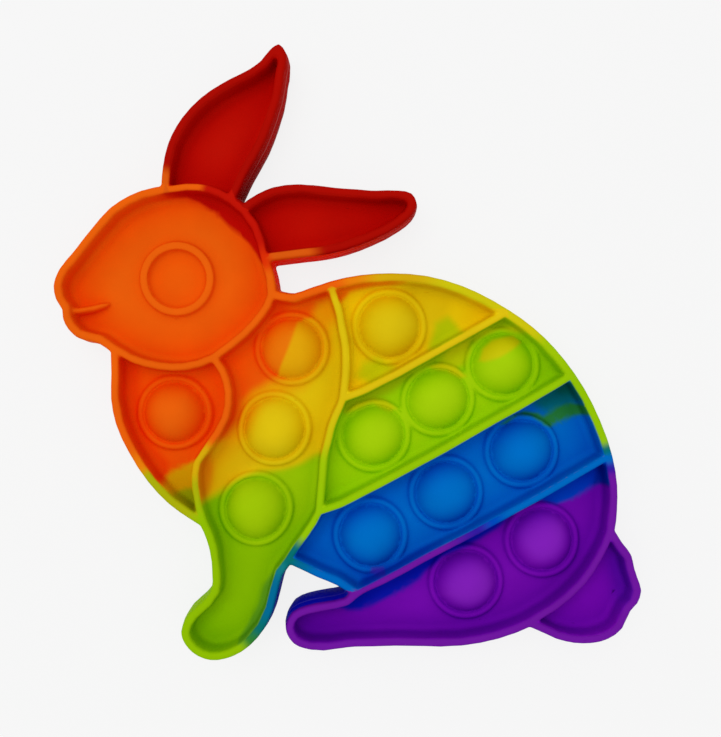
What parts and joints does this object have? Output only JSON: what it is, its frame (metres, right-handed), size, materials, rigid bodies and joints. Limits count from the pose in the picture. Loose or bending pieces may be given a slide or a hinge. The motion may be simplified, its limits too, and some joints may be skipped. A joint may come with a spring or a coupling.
{
  "type": "bubble pop fidget toy",
  "caption": "Flat rabbit-shaped silicone toy with a rounded rim, ribs between its coloured panels, and round domes that push through from one face to the other.",
  "frame": {"origin": "centre of the toy's outline, on the surface that its lower rim rests on", "axes": "+Z out of the face with the raised domes, -X towards the rabbit's nose, +Y towards its ears"},
  "size_m": [0.148, 0.1552, 0.013],
  "materials": {
    "silicone": "satin"
  },
  "bodies": {
    "root": {"rabbit_popper": "silicone"}
  },
  "joints": []
}
